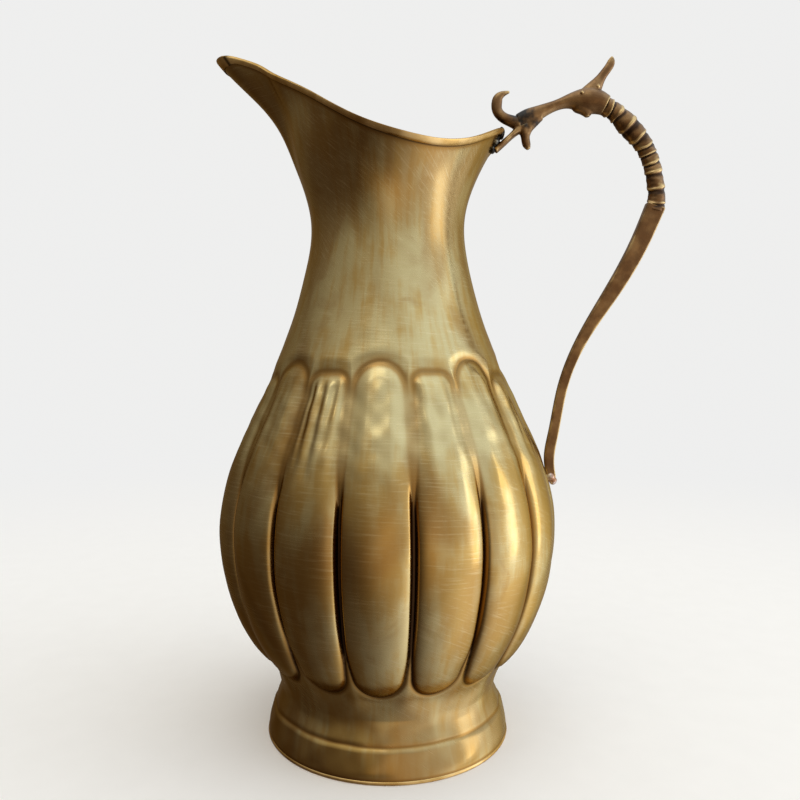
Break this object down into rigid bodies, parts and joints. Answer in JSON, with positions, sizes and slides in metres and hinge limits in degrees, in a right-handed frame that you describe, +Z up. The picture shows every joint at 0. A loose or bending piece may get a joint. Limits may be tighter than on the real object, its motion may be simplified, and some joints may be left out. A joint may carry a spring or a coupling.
{
  "type": "water jug",
  "caption": "Tall sheet-metal water jug with a beaten lobed belly, flared foot, swept spout and a cast handle shaped like a horned antelope's head.",
  "frame": {"origin": "centre of the foot, on the surface that the jug stands on", "axes": "+Z up along the body's axis, +X towards the handle, -X towards the spout; XZ is the mirror plane"},
  "size_m": [0.203, 0.1516, 0.3047],
  "materials": {
    "beaten_brass": "satin brushed, antique patina in the grooves",
    "edge_brass": "worn bright along the fold",
    "cast_brass": "dark brown patina, worn bright on the high places",
    "solder": "dull silver solder with soot",
    "braze": "rough brazing metal"
  },
  "bodies": {
    "root": {"neck_body": "beaten_brass", "bulb_body": "beaten_brass", "bottom_disc": "beaten_brass", "foot_collar": "beaten_brass", "foot_hem": "edge_brass", "rim_band": "edge_brass", "handle_casting": "cast_brass", "upper_solder": "solder", "lower_solder": "solder", "body_braze": "braze", "foot_braze": "braze"}
  },
  "joints": []
}
